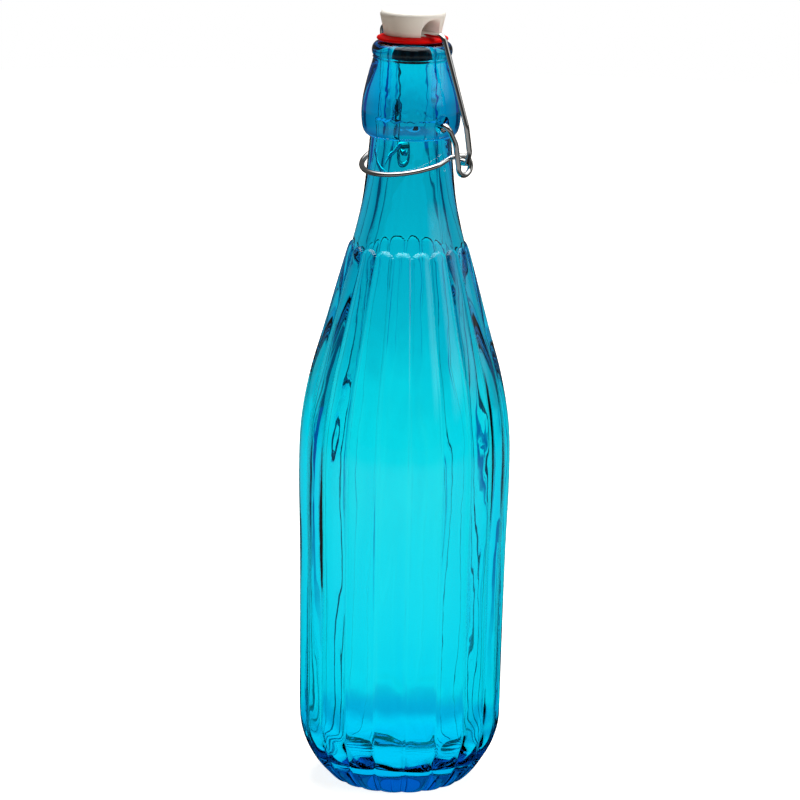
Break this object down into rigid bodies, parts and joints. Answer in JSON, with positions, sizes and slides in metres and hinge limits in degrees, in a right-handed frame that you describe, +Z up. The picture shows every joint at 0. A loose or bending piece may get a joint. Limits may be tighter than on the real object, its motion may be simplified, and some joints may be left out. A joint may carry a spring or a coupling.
{
  "type": "swing-top glass bottle",
  "caption": "Tall ribbed glass bottle with a swing-top closure: white stopper, red rubber gasket, wire bail and wire locking lever.",
  "frame": {"origin": "on the table at the centre of the foot, on the axis of the bottle", "axes": "+Z runs up the bottle to the stopper, X runs through the two wire pivots, the thumb ring of the lever is at -Y and the eyes of the lever are at +Y"},
  "size_m": [0.0852, 0.0852, 0.3169],
  "materials": {
    "turquoise_glass": "clear turquoise glass, smooth",
    "white_plastic": "white plastic with a fine satin surface",
    "red_rubber": "smooth red rubber",
    "bright_wire": "bright plated steel wire"
  },
  "bodies": {
    "bottle": {"glass_bottle": "turquoise_glass"},
    "lever": {"locking_lever": "bright_wire"},
    "bail": {"closure_bail": "bright_wire"},
    "stopper": {"stopper": "white_plastic", "gasket": "red_rubber"}
  },
  "joints": [
    {"name": "lever_pivot", "type": "hinge", "parent": "bottle", "child": "lever", "pos_m": [0, 0, 0.2734], "axis": [-1, 0, 0], "range_deg": [0, 93], "deforming": ["gasket"]},
    {"name": "bail_pivot", "type": "hinge", "parent": "lever", "child": "bail", "pos_m": [0, 0.0106, 0.2574], "axis": [-1, 0, 0], "range_deg": [-62.1, 0]},
    {"name": "stopper_swing", "type": "hinge", "parent": "bail", "child": "stopper", "pos_m": [0, 0, 0.3084], "axis": [-1, 0, 0], "range_deg": [-31.1, 0]}
  ],
  "couplings": [
    {"joint": "bail_pivot", "follows": "lever_pivot", "ratio": -0.667},
    {"joint": "stopper_swing", "follows": "lever_pivot", "ratio": -0.333}
  ]
}
